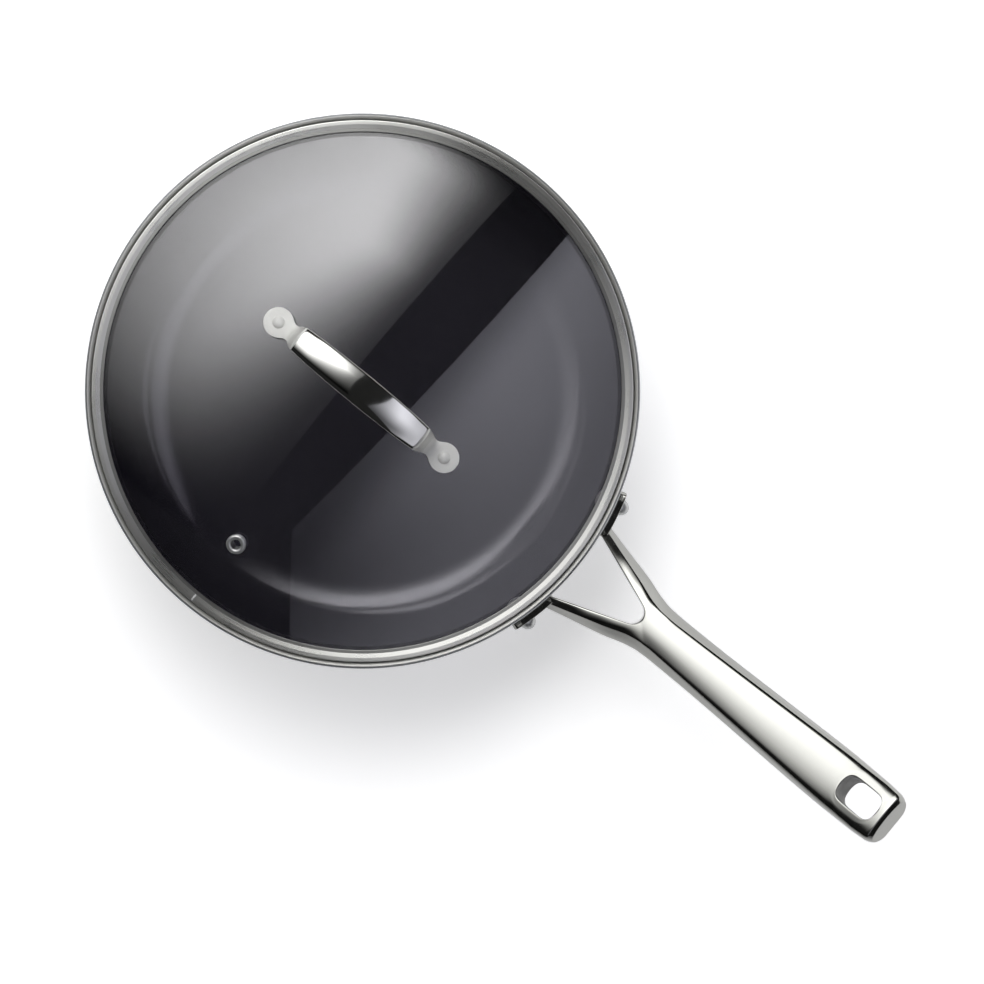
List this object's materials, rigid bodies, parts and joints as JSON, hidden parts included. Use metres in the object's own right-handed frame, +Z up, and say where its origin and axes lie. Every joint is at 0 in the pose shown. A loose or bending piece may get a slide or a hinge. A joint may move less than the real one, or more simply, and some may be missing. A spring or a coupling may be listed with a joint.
{
  "type": "saute pan with lid",
  "caption": "Round-bottomed clad saute pan with a forked riveted steel handle, and a domed glass lid with a steel band, a bridge handle and a steam vent that lifts off.",
  "frame": {"origin": "centre of the pan's flat underside, on the pan's axis, on the surface it stands on", "axes": "+Z up along the pan's axis, +X outward along the pan handle, +Y to the left of the handle seen from the pan"},
  "size_m": [0.4943, 0.2884, 0.1382],
  "materials": {
    "coated_steel": "dark non-stick coating on steel, satin",
    "core_aluminium": "bare core, seen only at the rim",
    "satin_steel": "satin stainless steel",
    "polished_steel": "polished cast stainless steel",
    "band_steel": "brushed stainless strip",
    "lid_glass": "clear toughened glass",
    "silicone": "matt dark silicone"
  },
  "bodies": {
    "pan": {"pan_inner_ply": "coated_steel", "pan_core_ply": "core_aluminium", "pan_outer_ply": "satin_steel", "pan_handle": "polished_steel", "handle_rivet_left": "satin_steel", "handle_rivet_right": "satin_steel"},
    "lid": {"lid_rim_band": "band_steel", "lid_glass": "lid_glass", "lid_handle": "polished_steel", "lid_rivet_front": "satin_steel", "upper_gasket_front": "silicone", "lower_gasket_front": "silicone", "backing_washer_front": "satin_steel", "lid_rivet_rear": "satin_steel", "upper_gasket_rear": "silicone", "lower_gasket_rear": "silicone", "backing_washer_rear": "satin_steel", "vent_eyelet": "satin_steel", "vent_gasket": "silicone"}
  },
  "joints": [
    {"name": "lid_lift", "type": "slide", "parent": "pan", "child": "lid", "axis": [0, 0, 1], "range_m": [0, 0.15]}
  ]
}
